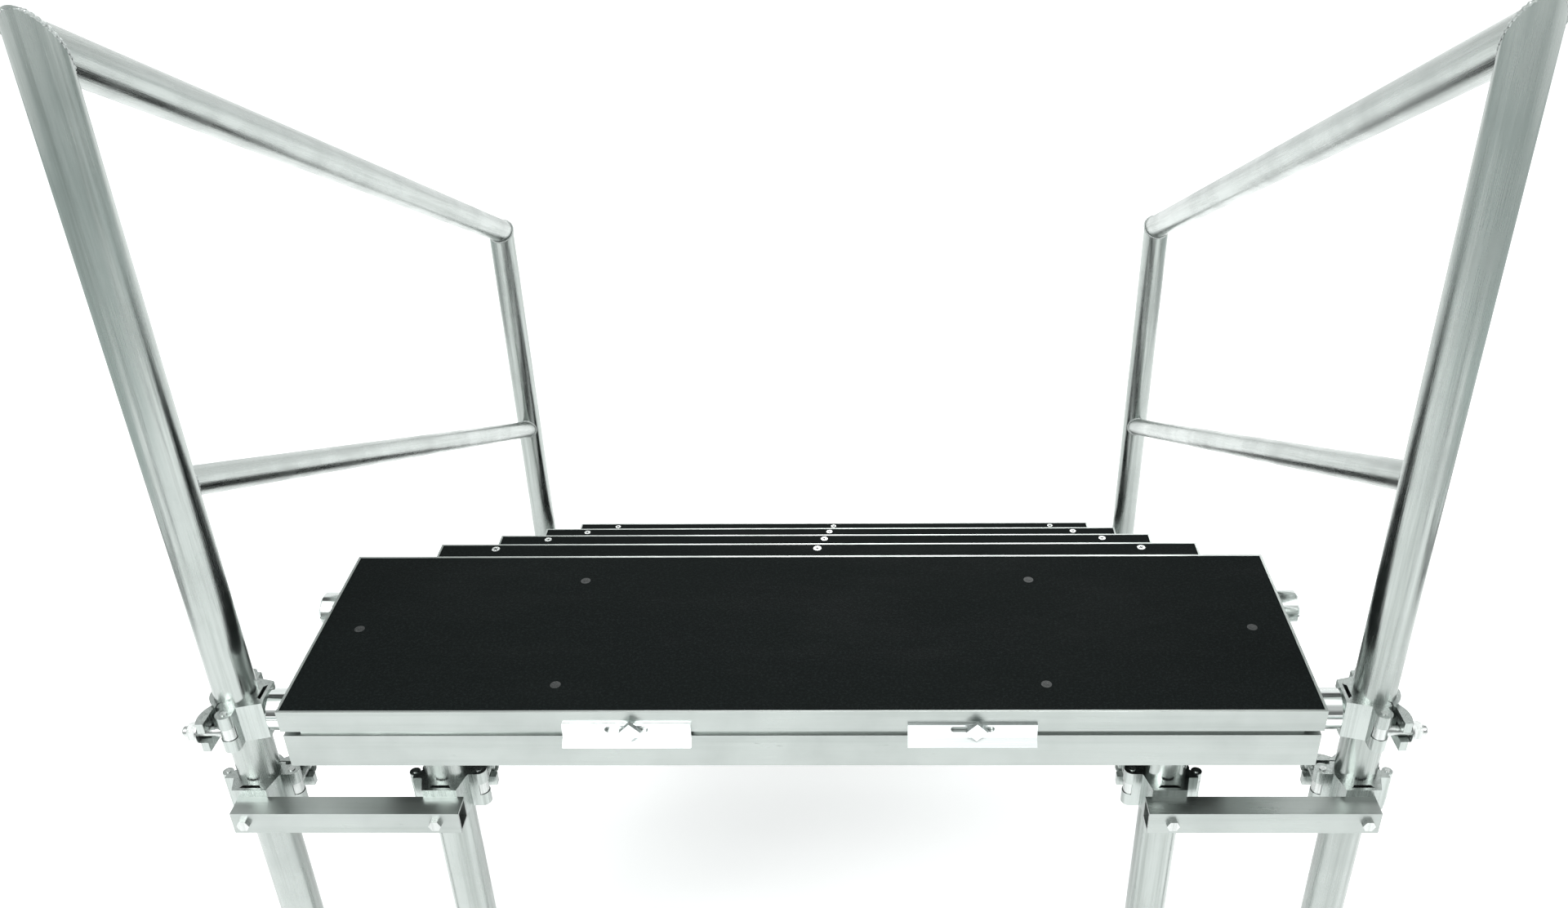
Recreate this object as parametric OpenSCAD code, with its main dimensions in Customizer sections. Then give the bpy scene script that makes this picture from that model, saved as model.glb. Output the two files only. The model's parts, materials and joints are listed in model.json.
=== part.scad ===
// Modular stage stair: five black boards in aluminium frames, with a tubular handrail on each side.
// The object stands on z = 0. The origin is below the middle of its bounding box, and +Y runs down the stair.

/* [Treads] */
// Width of a tread, side to side
tread_w = 1150; // [1000:10:1300]
// Depth of a tread, back to front
tread_d = 300; // [290:5:340]
// Distance from one tread's rear edge to the next
going = 297; // [290:1:300]
// Height of one step
rise = 182; // [170:1:190]
// Thickness of the board
board_t = 15; // [12:0.5:15]
// Height of the aluminium frame around a board
frame_h = 28; // [28:1:32]
// Depth of the frame profile, outer face to inner edge
frame_d = 25; // [20:1:30]
// Thickness of the frame profile's outer wall
frame_wall = 3; // [2:0.5:4]

/* [Tubes] */
// Outer diameter of posts, legs and cross tubes
tube_od = 48.3; // [48.3:0.1:48.3]
// Wall of the posts, legs and cross tubes
tube_wall = 4; // [3:0.5:5]
// Outer diameter of the top rail
top_rail_od = 44.5; // [40:0.5:48]
// Outer diameter of the mid rail and the spreaders
mid_rail_od = 33.7; // [26:0.1:40]
// Wall of the rails and the spreaders
rail_wall = 3; // [2:0.5:4]
// How far a stub stands out beyond the tread
stub_out = 37; // [32:1:60]
// Distance from a tread's rear edge to its rear cross tube
rear_tube_y = 64; // [60:1:70]
// Distance from a tread's rear edge to its front cross tube
front_tube_y = 252; // [240:1:255]

/* [Handrails] */
// Height of the top rail's axis above the top tread at the near post
hand_h = 705; // [600:5:900]
// Drop from the top rail's axis to the mid rail's axis
mid_drop = 450; // [350:10:500]
// Height of the top rail's axis above the bottom tread at the far post
far_hand_h = 726; // [680:1:760]

/* [Rear face and legs] */
// Height of the cross rail below the top tread's rear edge
cross_rail_h = 44; // [36:1:50]
// Depth of the cross rail
cross_rail_d = 30; // [24:1:32]
// Gap between the top frame and the cross rail
groove_h = 6; // [5:0.5:8]
// Distance from the middle to a leg
leg_x = 425; // [400:5:430]
// Height of a spacer bar
bar_h = 30; // [25:1:34]
// Depth of a spacer bar
bar_d = 28; // [20:1:28]
// Wall of the spacer bars and the cross rail
bar_wall = 3; // [2:0.5:4]
// Depth of the spacer bar's middle below the top tread
bar_drop = 168; // [165:1:180]

/* [Couplers] */
// Length of a coupler along its tube
coupler_len = 50; // [46:1:56]
// Distance from a tube's axis to the coupler's base face
coupler_reach = 36; // [36:0.5:40]
// Thickness of the coupler's ring
ring_t = 5; // [4:0.5:5]
// Diameter of the swing bolt's shank
swing_bolt_d = 12; // [10:1:12]

/* [Locking plates] */
// Width of a locking plate
plate_w = 142; // [120:2:150]
// Distance from the middle to a locking plate's centre
plate_x = 190; // [150:5:200]
// Length of the slot in a locking plate
slot_len = 48; // [40:1:50]

/* [Stringers] */
// Distance from the middle to a stringer
stringer_x = 485; // [480:1:490]
// Height of the stringer's section, square to its slope
stringer_h = 60; // [50:1:62]
// Width of the stringer's section
stringer_w = 30; // [25:1:32]

/* [Hidden] */
$fn = 64;

LEFT = -1;
RIGHT = 1;
SIDES = [LEFT, RIGHT];
mill = "#b9bfbc";
bright = "#d9dedc";
zinc = "#c4c8c6";
white_metal = "#eef0ef";
deck_black = "#191c1c";
rubber_black = "#222222";
big = 6000;
gap = 0.05;

// Levels: everything above is measured from the top tread, and the floor lies step_count rises below it.
step_count = 5;
top_z = step_count * rise;
tube_r = tube_od / 2;
tube_axis_drop = frame_h + tube_r - 2.15;
stub_x = tread_w / 2 + stub_out;
stub_inset = 5;
stub_shoulder = 0.3;
stub_neck = 0.65;
stub_chamfer = 2.5;
post_x = stub_x + coupler_reach;
near_y = rear_tube_y;
far_y = (step_count - 1) * going + front_tube_y;

// Frame profile levels, measured down from the tread's top edge
lip_drop = 0.5;
ledge_top = board_t + lip_drop;
ledge_t = 2.5;
flange_t = 2.5;

// Cross rail below the top frame
cross_rail_len = tread_w - 4;
cross_rail_base = -frame_h - groove_h - cross_rail_h;

// Locking plate
plate_t = 3.5;
plate_gap = 0.3;
plate_top_drop = 16;
plate_bend_drop = 34;
plate_low_drop = 41;
lip_out = 8.5;
lip_cut = 1;
lock_bolt_drop = ledge_top + ledge_t + 3.6;
lock_bolt_d = 6;
lock_bolt_shift = 4.5;
lock_head_w = 17;
lock_head_t = 6;

// The bounding box in Y runs from the locking plates' lips to the bottom tread's front edge
rear_most_y = -(plate_gap + plate_t + lip_out);
front_most_y = (step_count - 1) * going + tread_d;
middle_y = (rear_most_y + front_most_y) / 2;

// Handrail slope
near_top_z = top_z + hand_h;
far_top_z = rise + far_hand_h;
rail_run = far_y - near_y;
rail_fall = near_top_z - far_top_z;
rail_angle = atan(rail_fall / rail_run);
rail_len = sqrt(rail_run * rail_run + rail_fall * rail_fall);
ferrule_floor = 5;
ferrule_h = 40;
ferrule_r = tube_r + 4;

// Stringer lines
slope = rise / going;
stringer_top_drop = tube_axis_drop + tube_r / cos(atan(slope)) + 1.7;
stringer_start_y = 120;
pad_t = 6;
pad_w = stringer_w + 10;
stringer_v = stringer_h / cos(atan(slope));
bracket_t = 6;

// Screws
screw_r = 3;
screw_head_r = 6;
screw_head_h = 3.5;
batten_w = 40;
batten_t = 3.3;
top_screws = [[-275, 47], [275, 47], [-275, 247], [275, 247], [-528, 150], [528, 150]];
batten_xs = [-528, -275, 275, 528];
step_screw_x = 490;
step_screw_edge = 12;

// Coupler profile
seat_r = tube_r + gap;
ring_r = seat_r + ring_t;
base_half_w = 20;
split_gap = 1.5;
pivot = [0, -38];
strap_front_x = 14;
hinge = [-4, 36.2];
pivot_pin_r = 4;
hinge_pin_r = 3;
eye_r = 8.5;
eye_half = 7.8;
fork_half = 8.2;
cheek_r = 9.5;
knuckle_r = 6.5;
knuckle_half = 12.5;
knuckle_gap_half = 13;
ear_r = 31;
nut_gap = 0.2;
nut_h = 10;
nut_r = 10.97;
bolt_tip = 51;
washer_r = 13.5;
washer_t = 2;
slot_half = swing_bolt_d / 2 + 0.8;
pocket_floor = 4;
pocket_roof = 8.5;
bar_bolt_r = 4;
stub_bolt_r = 5;
stub_bolt_len = 25;
stub_bolt_head_r = 8.5;
stub_bolt_head_t = 3;
bar_head_r = 7.5;
bar_head_t = 5.3;
plug_len = 15;

// ---------- helpers ----------

// Places children at a tread, with z = 0 on its top edge and y = 0 on its rear edge
module at_tread(n) {
    translate([0, (n - 1) * going, top_z - (n - 1) * rise]) children();
}

// Puts the part's own frame at the middle of its box
module placed() {
    translate([0, -middle_y, 0]) children();
}

// Mirrors children to the left side
module on_side(side) {
    mirror([side == LEFT ? 1 : 0, 0, 0]) children();
}

module pipe(r, wall, len) {
    difference() {
        cylinder(r = r, h = len);
        translate([0, 0, -1]) cylinder(r = r - wall, h = len + 2);
    }
}

// Tube along X, centred
module x_tube(r, wall, len) {
    translate([-len / 2, 0, 0]) rotate([0, 90, 0]) pipe(r, wall, len);
}

module x_rod(r, len) {
    translate([-len / 2, 0, 0]) rotate([0, 90, 0]) cylinder(r = r, h = len);
}

// Half space on the left of a direction in the YZ plane, or on its right
module half_space(y, z, angle, left) {
    translate([0, y, z]) rotate([angle, 0, 0])
        translate([-big / 2, -big / 2, left ? 0 : -big]) cube([big, big, big]);
}

// ---------- treads ----------

module frame_profile() {
    polygon([
        [0, 0],
        [frame_wall, 0],
        [frame_wall, -ledge_top],
        [frame_d, -ledge_top],
        [frame_d, -ledge_top - ledge_t],
        [frame_wall, -ledge_top - ledge_t],
        [frame_wall, -frame_h + flange_t],
        [frame_d, -frame_h + flange_t],
        [frame_d, -frame_h],
        [0, -frame_h]
    ]);
}

// One frame rail with mitred ends, its outer face on y = 0
module frame_rail(len) {
    intersection() {
        translate([-len / 2, 0, 0]) rotate([90, 0, 90]) linear_extrude(len) frame_profile();
        translate([0, 0, -frame_h - 1]) linear_extrude(frame_h + 2)
            polygon([
                [-len / 2 + gap, 0],
                [len / 2 - gap, 0],
                [len / 2 - gap - frame_d - 1, frame_d + 1],
                [-len / 2 + gap + frame_d + 1, frame_d + 1]
            ]);
    }
}

function step_screws(n) = n == 1 ? top_screws
    : [for (x = [-step_screw_x, 0, step_screw_x], y = [step_screw_edge, tread_d - step_screw_edge]) [x, y]];

module tread_frame(n) {
    color(mill) placed() at_tread(n) difference() {
        union() {
            frame_rail(tread_w);
            translate([0, tread_d, 0]) rotate([0, 0, 180]) frame_rail(tread_w);
            translate([tread_w / 2, tread_d / 2, 0]) rotate([0, 0, 90]) frame_rail(tread_d);
            translate([-tread_w / 2, tread_d / 2, 0]) rotate([0, 0, -90]) frame_rail(tread_d);
        }
        for (y = [rear_tube_y, front_tube_y])
            translate([0, y, -tube_axis_drop]) x_rod(tube_r + gap, tread_w + 20);
        if (n > 1) for (p = step_screws(n))
            translate([p[0], p[1], -frame_h + flange_t + 0.5]) cylinder(r = screw_r + gap, h = frame_h);
        if (n == 1) for (side = SIDES)
            translate([side * plate_x + lock_bolt_shift, -1, -lock_bolt_drop])
                rotate([-90, 0, 0]) cylinder(r = lock_bolt_d / 2 + gap, h = frame_wall + 2);
    }
}

module screw_sink(r, head_r) {
    translate([0, 0, -board_t - 10]) cylinder(r = r, h = board_t + 10.1);
    translate([0, 0, -screw_head_h]) cylinder(r1 = r, r2 = head_r, h = screw_head_h);
    cylinder(r = head_r, h = 1);
}

module tread_board(n) {
    side_gap = frame_wall + 0.2;
    color(deck_black) placed() at_tread(n) difference() {
        translate([-tread_w / 2 + side_gap, side_gap, -ledge_top])
            cube([tread_w - 2 * side_gap, tread_d - 2 * side_gap, board_t]);
        for (p = step_screws(n))
            translate([p[0], p[1], -lip_drop]) screw_sink(screw_r + gap, screw_head_r + gap);
    }
}

module board_screw(len) {
    translate([0, 0, -len]) cylinder(r = screw_r, h = len - screw_head_h + 0.01);
    translate([0, 0, -screw_head_h]) cylinder(r1 = screw_r, r2 = screw_head_r, h = screw_head_h);
}

module board_screws_top() {
    len = ledge_t + board_t + batten_t + 1;
    color("#3a3d3d") placed() at_tread(1) for (p = top_screws)
        translate([p[0], p[1], -lip_drop]) board_screw(len);
}

module board_screws_steps() {
    len = board_t + ledge_t + 2;
    color(zinc) placed() for (n = [2 : step_count]) at_tread(n) for (p = step_screws(n))
        translate([p[0], p[1], -lip_drop]) board_screw(len);
}

// Flat bars in the frame's channel, which take the top board's screws
module board_battens() {
    color(mill) placed() at_tread(1) difference() {
        for (x = batten_xs)
            translate([x - batten_w / 2, frame_wall + 0.2, -ledge_top - ledge_t - batten_t])
                cube([batten_w, tread_d - 2 * frame_wall - 0.4, batten_t]);
        for (p = top_screws) translate([p[0], p[1], -frame_h])
            cylinder(r = screw_r + gap, h = frame_h);
    }
}

// ---------- cross tubes ----------

// Whether a cross tube has stubs, which carry or may carry a coupler
function has_stub(n, front) = n == 1 || (n == step_count && front);

// Half-length of a cross tube: it stops inside the frame where a stub fits in its end
function tube_half(n, front) = tread_w / 2 - (has_stub(n, front) ? stub_inset : 0);

module cross_tubes(n) {
    color(mill) placed() at_tread(n) {
        translate([0, rear_tube_y, -tube_axis_drop]) x_tube(tube_r, tube_wall, 2 * tube_half(n, false));
        translate([0, front_tube_y, -tube_axis_drop]) x_tube(tube_r, tube_wall, 2 * tube_half(n, true));
    }
}

// Whether the stubs of a tube carry a handrail's coupler
function has_coupler(n, front) = (n == 1 && !front) || (n == step_count && front);

// Places children on a tube's axis at the right-hand side of its tread, with z pointing outwards
module at_tread_side(n, front) {
    at_tread(n) translate([tread_w / 2, front ? front_tube_y : rear_tube_y, -tube_axis_drop])
        rotate([0, 90, 0]) children();
}

// Plugs that close the ends of the plain cross tubes and of the cross rail
module end_plugs() {
    color(rubber_black) placed() for (side = SIDES) on_side(side) {
        for (n = [1 : step_count], front = [false, true]) if (!has_stub(n, front)) at_tread_side(n, front)
            translate([0, 0, -plug_len]) cylinder(r = tube_r - tube_wall - gap, h = plug_len);
        at_tread(1) translate([cross_rail_len / 2 - plug_len, bar_wall + gap, cross_rail_base + bar_wall + gap])
            cube([plug_len, cross_rail_d - 2 * bar_wall - 2 * gap, cross_rail_h - 2 * bar_wall - 2 * gap]);
    }
}

// Turned stub: a shank inside the cross tube, a relieved neck through the frame and a chamfered end
module end_stub(bored) {
    difference() {
        union() {
            translate([0, 0, -stub_inset - plug_len])
                cylinder(r = tube_r - tube_wall - gap, h = plug_len + 2 * gap);
            translate([0, 0, -stub_inset + gap])
                cylinder(r = tube_r - stub_neck, h = stub_inset + stub_shoulder);
            translate([0, 0, stub_shoulder])
                cylinder(r = tube_r, h = stub_out - stub_shoulder - stub_chamfer);
            translate([0, 0, stub_out - stub_chamfer])
                cylinder(r1 = tube_r, r2 = tube_r - stub_chamfer, h = stub_chamfer);
        }
        if (bored) translate([0, 0, stub_out - stub_bolt_len - 2])
            cylinder(r = stub_bolt_r + gap, h = stub_bolt_len + 3);
    }
}

module end_stubs() {
    color(bright) placed() for (side = SIDES, n = [1 : step_count], front = [false, true])
        if (has_stub(n, front)) on_side(side) at_tread_side(n, front) end_stub(has_coupler(n, front));
}

// Short bolts from a coupler's pocket into its stub
module stub_bolts() {
    color(zinc) placed() for (side = SIDES, n = [1 : step_count], front = [false, true])
        if (has_coupler(n, front)) on_side(side) at_tread_side(n, front) {
            translate([0, 0, stub_out - stub_bolt_len])
                cylinder(r = stub_bolt_r, h = stub_bolt_len + pocket_floor + 0.5);
            translate([0, 0, stub_out + pocket_floor]) cylinder(r = stub_bolt_head_r, h = stub_bolt_head_t);
        }
}

// ---------- rear face ----------

module box_bar(size, wall) {
    difference() {
        cube(size);
        translate([-1, wall, wall]) cube([size[0] + 2, size[1] - 2 * wall, size[2] - 2 * wall]);
    }
}

module rear_cross_rail() {
    color(mill) placed() at_tread(1) translate([-cross_rail_len / 2, 0, cross_rail_base])
        box_bar([cross_rail_len, cross_rail_d, cross_rail_h], bar_wall);
}

// Strip between the top frame and the cross rail, set back to leave a groove
module rail_spacer() {
    set_back = 4.5;
    end_gap = 18;
    len = cross_rail_len - 2 * end_gap;
    color(mill) placed() at_tread(1)
        translate([-len / 2, set_back, -frame_h - groove_h]) cube([len, frame_d - set_back, groove_h]);
}

// Side view of a locking plate: flat above, with a flared lip below
module plate_profile() {
    polygon([
        [-plate_gap, -plate_top_drop],
        [-plate_gap, -plate_bend_drop],
        [-plate_gap - lip_out, -plate_low_drop - lip_cut],
        [-plate_gap - lip_out - plate_t, -plate_low_drop],
        [-plate_gap - plate_t, -plate_bend_drop],
        [-plate_gap - plate_t, -plate_top_drop]
    ]);
}

module locking_plate(side) {
    slot_h = lock_bolt_d + 2;
    color(white_metal) placed() at_tread(1) translate([side * plate_x, 0, 0]) difference() {
        translate([-plate_w / 2, 0, 0]) rotate([90, 0, 90]) linear_extrude(plate_w) plate_profile();
        translate([-slot_len / 2 + slot_h / 2, 1, -lock_bolt_drop]) rotate([90, 0, 0])
            cylinder(d = slot_h, h = plate_t + 4);
        translate([slot_len / 2 - slot_h / 2, 1, -lock_bolt_drop]) rotate([90, 0, 0])
            cylinder(d = slot_h, h = plate_t + 4);
        translate([-slot_len / 2 + slot_h / 2, -plate_t - 2, -lock_bolt_drop - slot_h / 2])
            cube([slot_len - slot_h, plate_t + 4, slot_h]);
    }
}

// Square-headed bolts through the slots, each with a square nut in the frame's channel
module locking_bolts() {
    face = plate_gap + plate_t + 0.1;
    nut_w = 6.8;
    color(zinc) placed() at_tread(1) for (side = SIDES)
        translate([side * plate_x + lock_bolt_shift, 0, -lock_bolt_drop]) {
            translate([0, frame_wall + 6, 0]) rotate([90, 0, 0])
                cylinder(d = lock_bolt_d, h = face + frame_wall + 6.5);
            translate([0, -face - lock_head_t / 2, 0]) rotate([0, 45, 0])
                cube([lock_head_w, lock_head_t, lock_head_w], center = true);
            difference() {
                translate([-nut_w, frame_wall + gap, -nut_w / 2]) cube([2 * nut_w, 4, nut_w]);
                rotate([-90, 0, 0]) cylinder(d = lock_bolt_d + 2 * gap, h = frame_wall + 10);
            }
        }
}

// ---------- legs and stringers ----------

module leg(side) {
    color(mill) placed() on_side(side) difference() {
        translate([leg_x, near_y, ferrule_floor]) pipe(tube_r, tube_wall, top_z - tube_axis_drop - ferrule_floor);
        translate([leg_x, near_y, top_z - tube_axis_drop]) x_rod(tube_r + gap, 100);
    }
}

module ferrule() {
    difference() {
        cylinder(r = ferrule_r, h = ferrule_h);
        translate([0, 0, ferrule_floor]) cylinder(r = tube_r + gap, h = ferrule_h);
    }
}

module leg_feet() {
    color(rubber_black) placed() for (side = SIDES) on_side(side)
        translate([leg_x, near_y, 0]) ferrule();
}

function stringer_top(y) = top_z - stringer_top_drop - slope * (y - rear_tube_y);
function stringer_y_at(z) = rear_tube_y + (top_z - stringer_top_drop - z) / slope;

module stringer(side) {
    foot_top_y = stringer_y_at(pad_t);
    foot_low_y = foot_top_y - stringer_v / slope;
    wall_v = bar_wall / cos(atan(slope));
    past = 10;
    color(mill) placed() on_side(side) translate([stringer_x - stringer_w / 2, 0, 0]) rotate([90, 0, 90])
        difference() {
            linear_extrude(stringer_w) polygon([
                [stringer_start_y, stringer_top(stringer_start_y)],
                [foot_top_y, pad_t],
                [foot_low_y, pad_t],
                [stringer_start_y, stringer_top(stringer_start_y) - stringer_v]
            ]);
            translate([0, 0, bar_wall]) linear_extrude(stringer_w - 2 * bar_wall) polygon([
                [stringer_start_y - past, stringer_top(stringer_start_y - past) - wall_v],
                [foot_top_y - wall_v / slope + past / slope, pad_t - past],
                [foot_low_y + wall_v / slope + past / slope, pad_t - past],
                [stringer_start_y - past, stringer_top(stringer_start_y - past) - stringer_v + wall_v]
            ]);
        }
}

module stringer_feet() {
    foot_top_y = stringer_y_at(pad_t);
    foot_low_y = foot_top_y - stringer_v / slope;
    color(rubber_black) placed() for (side = SIDES) on_side(side)
        translate([stringer_x - pad_w / 2, foot_low_y - 5, 0]) cube([pad_w, foot_top_y - foot_low_y + 10, pad_t]);
}

// Gusset that holds a tread's two cross tubes on the outer face of the stringer
module bracket_plates(side) {
    margin = 28;
    back = rear_tube_y - margin;
    front = front_tube_y + margin;
    foot_clear = 12;
    color(mill) placed() on_side(side) intersection() {
        for (n = [1 : step_count]) at_tread(n)
            translate([stringer_x + stringer_w / 2, 0, 0]) rotate([90, 0, 90]) linear_extrude(bracket_t)
                difference() {
                    polygon([
                        [back, -frame_h],
                        [front, -frame_h],
                        [front + 16, -250],
                        [140, -155],
                        [back, -95]
                    ]);
                    translate([rear_tube_y, -tube_axis_drop]) circle(r = tube_r + gap);
                    translate([front_tube_y, -tube_axis_drop]) circle(r = tube_r + gap);
                }
        translate([0, -100, foot_clear]) cube([big, big, big]);
    }
}

module rear_spreader() {
    height = 210;
    color(mill) placed() difference() {
        translate([0, near_y, height]) x_tube(mid_rail_od / 2, rail_wall, 2 * leg_x);
        for (x = [-leg_x, leg_x]) translate([x, near_y, height - 40]) cylinder(r = tube_r, h = 80);
    }
}

module front_spreader() {
    y = 1240;
    len = 2 * (stringer_x - stringer_w / 2);
    color(mill) placed() translate([0, y, stringer_top(y) - stringer_v / 2])
        x_tube(mid_rail_od / 2, rail_wall, len);
}

// ---------- handrails ----------

// The rail meets each post on the plane that halves the angle between them
near_mitre = -(90 + rail_angle) / 2;
far_mitre = (450 - rail_angle) / 2;

module near_post(side) {
    color(mill) placed() on_side(side) intersection() {
        translate([post_x, near_y, ferrule_floor]) pipe(tube_r, tube_wall, near_top_z + 60 - ferrule_floor);
        half_space(near_y, near_top_z, near_mitre, false);
    }
}

module far_post(side) {
    color(mill) placed() on_side(side) intersection() {
        translate([post_x, far_y, ferrule_floor]) pipe(tube_r, tube_wall, far_top_z + 60 - ferrule_floor);
        half_space(far_y, far_top_z, far_mitre, true);
    }
}

module top_rail(side) {
    past = 60;
    color(mill) placed() on_side(side) intersection() {
        translate([post_x, near_y, near_top_z]) rotate([-90 - rail_angle, 0, 0])
            translate([0, 0, -past]) pipe(top_rail_od / 2, rail_wall, rail_len + 2 * past);
        half_space(near_y, near_top_z, near_mitre, true);
        half_space(far_y, far_top_z, far_mitre, false);
    }
}

module mid_rail(side) {
    color(mill) placed() on_side(side) difference() {
        translate([post_x, near_y, near_top_z - mid_drop]) rotate([-90 - rail_angle, 0, 0])
            pipe(mid_rail_od / 2, rail_wall, rail_len);
        for (y = [near_y, far_y]) translate([post_x, y, 0]) cylinder(r = tube_r, h = near_top_z);
    }
}

module post_ferrules(side) {
    color(rubber_black) placed() on_side(side) for (y = [near_y, far_y])
        translate([post_x, y, 0]) ferrule();
}

// ---------- spacer bars ----------

bar_y = near_y - coupler_reach - bar_d;

module spacer_bar(side) {
    inner = leg_x - 28;
    outer = post_x + 14;
    color(mill) placed() on_side(side) at_tread(1) difference() {
        translate([inner, bar_y, -bar_drop - bar_h / 2]) box_bar([outer - inner, bar_d, bar_h], bar_wall);
        for (x = [leg_x, post_x]) translate([x, bar_y - 1, -bar_drop]) rotate([-90, 0, 0])
            cylinder(r = bar_bolt_r + gap, h = bar_d + 2);
    }
}

// Hexagon bolts through a spacer bar into the coupler behind it
module bar_bolts() {
    color(zinc) placed() at_tread(1) for (side = SIDES, x = [leg_x, post_x])
        translate([side * x, bar_y, -bar_drop]) rotate([-90, 0, 0]) {
            translate([0, 0, -bar_head_t]) cylinder(r = bar_head_r, h = bar_head_t, $fn = 6);
            translate([0, 0, -0.5]) cylinder(r = bar_bolt_r, h = bar_d + pocket_floor + 1);
            translate([0, 0, bar_d + pocket_floor]) cylinder(r = bar_head_r, h = stub_bolt_head_t, $fn = 6);
        }
}

// ---------- couplers ----------

// Where a coupler sits: [kind, x, y, drop below the top tread, turned to face a bar]
COUPLERS = [
    ["upper", post_x, near_y, tube_axis_drop, false],
    ["lower", post_x, near_y, bar_drop, true],
    ["leg", leg_x, near_y, bar_drop, true],
    ["far", post_x, far_y, (step_count - 1) * rise + tube_axis_drop, false]
];

module at_coupler(c, side) {
    on_side(side) translate([c[1], c[2], top_z - c[3]])
        rotate([c[4] ? 180 : 0, 0, c[4] ? 90 : 0]) children();
}

module slab(half) {
    translate([0, 0, -half]) linear_extrude(2 * half) children();
}

module disc_at(p, r) {
    translate(p) circle(r = r);
}

module coupler_base(bolt_r) {
    difference() {
        slab(coupler_len / 2) difference() {
            union() {
                intersection() {
                    circle(r = ring_r);
                    union() {
                        translate([-60, -50]) square([60 - split_gap, 100]);
                        translate([-60, -50]) square([60 + strap_front_x - split_gap, 50]);
                    }
                }
                polygon([
                    [-coupler_reach, -base_half_w],
                    [-coupler_reach, base_half_w],
                    [-10, 27],
                    [-10, -27]
                ]);
                disc_at(pivot, cheek_r);
                translate([pivot[0] - cheek_r, pivot[1]]) square([2 * cheek_r - 2, 16]);
                disc_at(hinge, knuckle_r);
                translate([hinge[0] - knuckle_r - 5, hinge[1] - 14]) square([knuckle_r + 5, 14]);
            }
            circle(r = seat_r);
            polygon([
                [-coupler_reach + pocket_floor, -13],
                [-coupler_reach + pocket_floor, 13],
                [-coupler_reach + pocket_roof, 9.5],
                [-coupler_reach + pocket_roof, -9.5]
            ]);
        }
        slab(fork_half) {
            disc_at(pivot, eye_r + 0.5);
            translate([pivot[0], -50]) square([18, 50 - ring_r - 0.3]);
            translate([pivot[0] - cheek_r - 1, -50]) square([30, 50 + pivot[1]]);
        }
        slab(knuckle_gap_half) {
            disc_at(hinge, knuckle_r + 0.7);
            translate([hinge[0] - knuckle_r - 0.7, ring_r + 0.4]) square([20, 20]);
        }
        translate([pivot[0], pivot[1], -50]) cylinder(r = pivot_pin_r + gap, h = 100);
        translate([hinge[0], hinge[1], -50]) cylinder(r = hinge_pin_r + gap, h = 100);
        translate([-coupler_reach - 1, 0, 0]) rotate([0, 90, 0]) cylinder(r = bolt_r + gap, h = pocket_floor + 2);
    }
}

module coupler_bases() {
    color(mill) placed() for (side = SIDES, c = COUPLERS)
        at_coupler(c, side) coupler_base(c[4] ? bar_bolt_r : stub_bolt_r);
}

module coupler_strap() {
    difference() {
        slab(coupler_len / 2) difference() {
            intersection() {
                circle(r = ring_r);
                union() {
                    translate([split_gap, 0]) square([60, 50]);
                    translate([strap_front_x, -50]) square([60, 50.1]);
                }
            }
            circle(r = seat_r);
        }
        slab(slot_half) translate([0, -50]) square([40, 50 - ring_r - 0.3]);
    }
    difference() {
        slab(coupler_len / 2 - 5) difference() {
            intersection() {
                polygon([[19, -20], [34, -8], [34, -50], [20, -50]]);
                disc_at(pivot, ear_r);
            }
            circle(r = seat_r + 1);
        }
        slab(slot_half) translate([0, -50]) square([40, 50 - ring_r - 0.3]);
    }
    difference() {
        slab(knuckle_half) difference() {
            union() {
                disc_at(hinge, knuckle_r);
                polygon([[hinge[0], 42.6], [7, 40], [17, 23], [9, 25.5], [split_gap, 29.4], [hinge[0], 30]]);
            }
            circle(r = seat_r + 1);
            translate([-50, -50]) square([50 + hinge[0] - knuckle_r, 100]);
        }
        translate([hinge[0], hinge[1], -50]) cylinder(r = hinge_pin_r + gap, h = 100);
    }
}

module coupler_straps() {
    color(mill) placed() for (side = SIDES, c = COUPLERS) at_coupler(c, side) coupler_strap();
}

// Hinge pins and pivot pins of all the couplers
module coupler_pins() {
    color(zinc) placed() for (side = SIDES, c = COUPLERS) at_coupler(c, side) {
        translate([hinge[0], hinge[1], -coupler_len / 2 - 1]) cylinder(r = hinge_pin_r, h = coupler_len + 2);
        translate([pivot[0], pivot[1], -coupler_len / 2 - 1]) cylinder(r = pivot_pin_r, h = coupler_len + 2);
    }
}

// Eye bolt with its washer and nut, which swings out of the strap's fork
module swing_bolt(i, side) {
    seat_x = ear_r + nut_gap;
    shank_r = swing_bolt_d / 2;
    tip_x = bolt_tip - pivot[0];
    color(zinc) placed() at_coupler(COUPLERS[i], side) translate([pivot[0], pivot[1], 0]) {
        difference() {
            union() {
                slab(eye_half) circle(r = eye_r);
                rotate([0, 90, 0]) cylinder(r = shank_r, h = tip_x - 1.5);
                translate([tip_x - 1.5, 0, 0]) rotate([0, 90, 0])
                    cylinder(r1 = shank_r, r2 = shank_r - 1.5, h = 1.5);
            }
            translate([0, 0, -50]) cylinder(r = pivot_pin_r + gap, h = 100);
        }
        translate([seat_x, 0, 0]) rotate([0, 90, 0]) difference() {
            cylinder(r = washer_r, h = washer_t);
            translate([0, 0, -1]) cylinder(r = shank_r + gap, h = washer_t + 2);
        }
        translate([seat_x + washer_t + gap, 0, 0]) rotate([0, 90, 0]) difference() {
            cylinder(r = nut_r, h = nut_h, $fn = 6);
            translate([0, 0, -1]) cylinder(r = shank_r + gap, h = nut_h + 2);
        }
    }
}

// ---------- output ----------

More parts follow.
